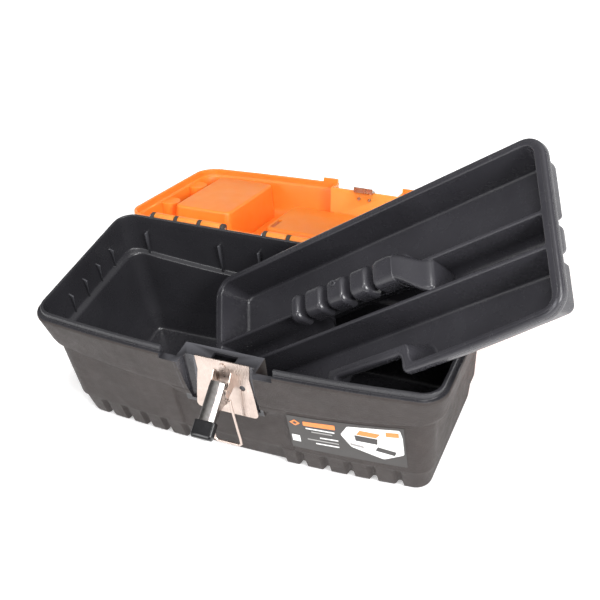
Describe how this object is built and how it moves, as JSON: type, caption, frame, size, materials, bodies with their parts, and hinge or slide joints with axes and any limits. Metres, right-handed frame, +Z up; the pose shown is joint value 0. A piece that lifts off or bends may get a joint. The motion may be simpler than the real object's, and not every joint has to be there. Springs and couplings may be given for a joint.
{
  "type": "toolbox with tray",
  "caption": "Small plastic toolbox with a hinged lid folded open, a lift-out tray with a grip bar, and a steel draw latch with a wire bail.",
  "frame": {"origin": "centre of the tub's base, on the surface it stands on; the open lid and the lifted tray aren't counted", "axes": "+X along the length to the right, +Y to the back, +Z up"},
  "size_m": [0.4018, 0.3401, 0.2433],
  "materials": {
    "body_plastic": "fine spark texture",
    "lid_plastic": "satin",
    "tray_plastic": "semi-gloss",
    "steel": "zinc plated",
    "latch_steel": "bright zinc plated",
    "gloss_black": "dipped, glossy",
    "handle_plastic": "matte",
    "clear_plastic": "clear",
    "label_paper": "printed, coated"
  },
  "bodies": {
    "tub": {"body_shell": "body_plastic", "hinge_pin_left": "steel", "hinge_pin_centre": "steel", "hinge_pin_right": "steel", "latch_plate": "latch_steel", "plate_rivets": "steel", "lever_pin": "steel", "front_label": "label_paper"},
    "lid": {"lid_shell": "lid_plastic", "keeper": "latch_steel", "keeper_rivets": "steel"},
    "tray": {"tray": "tray_plastic"},
    "lever": {"latch_lever": "latch_steel", "lever_tip": "gloss_black"},
    "bail": {"bail": "latch_steel"},
    "handle": {"carry_handle": "handle_plastic"},
    "left_cover": {"cover_left": "clear_plastic"},
    "right_cover": {"cover_right": "clear_plastic"}
  },
  "joints": [
    {"name": "lid_hinge", "type": "hinge", "parent": "tub", "child": "lid", "pos_m": [0, 0.0747, 0.1066], "axis": [1, 0, 0], "range_deg": [0, 196.4]},
    {"name": "tray_lift", "type": "slide", "parent": "tub", "child": "tray", "axis": [0.8324, 0.0332, 0.5532], "range_m": [0, 0.56]},
    {"name": "lever_hinge", "type": "hinge", "parent": "tub", "child": "lever", "pos_m": [0, -0.079, 0.0845], "axis": [1, 0, 0], "range_deg": [0, 58.7]},
    {"name": "bail_hinge", "type": "hinge", "parent": "lever", "child": "bail", "pos_m": [0, -0.0809, 0.07819], "axis": [1, 0, 0], "range_deg": [-240, 0]},
    {"name": "handle_hinge", "type": "hinge", "parent": "lid", "child": "handle", "pos_m": [0, 0.13998, 0.05674], "axis": [-1, 0, 0], "range_deg": [-73.6, 20]},
    {"name": "left_cover_hinge", "type": "hinge", "parent": "lid", "child": "left_cover", "pos_m": [0, 0.11111, 0.05606], "axis": [1, 0, 0], "range_deg": [-110, 0]},
    {"name": "right_cover_hinge", "type": "hinge", "parent": "lid", "child": "right_cover", "pos_m": [0, 0.11111, 0.05606], "axis": [1, 0, 0], "range_deg": [-110, 0]}
  ],
  "couplings": [
    {"joint": "tray_lift", "follows": "lid_hinge", "m_per_rad": 0.16},
    {"joint": "bail_hinge", "follows": "lever_hinge", "ratio": -4.066}
  ]
}
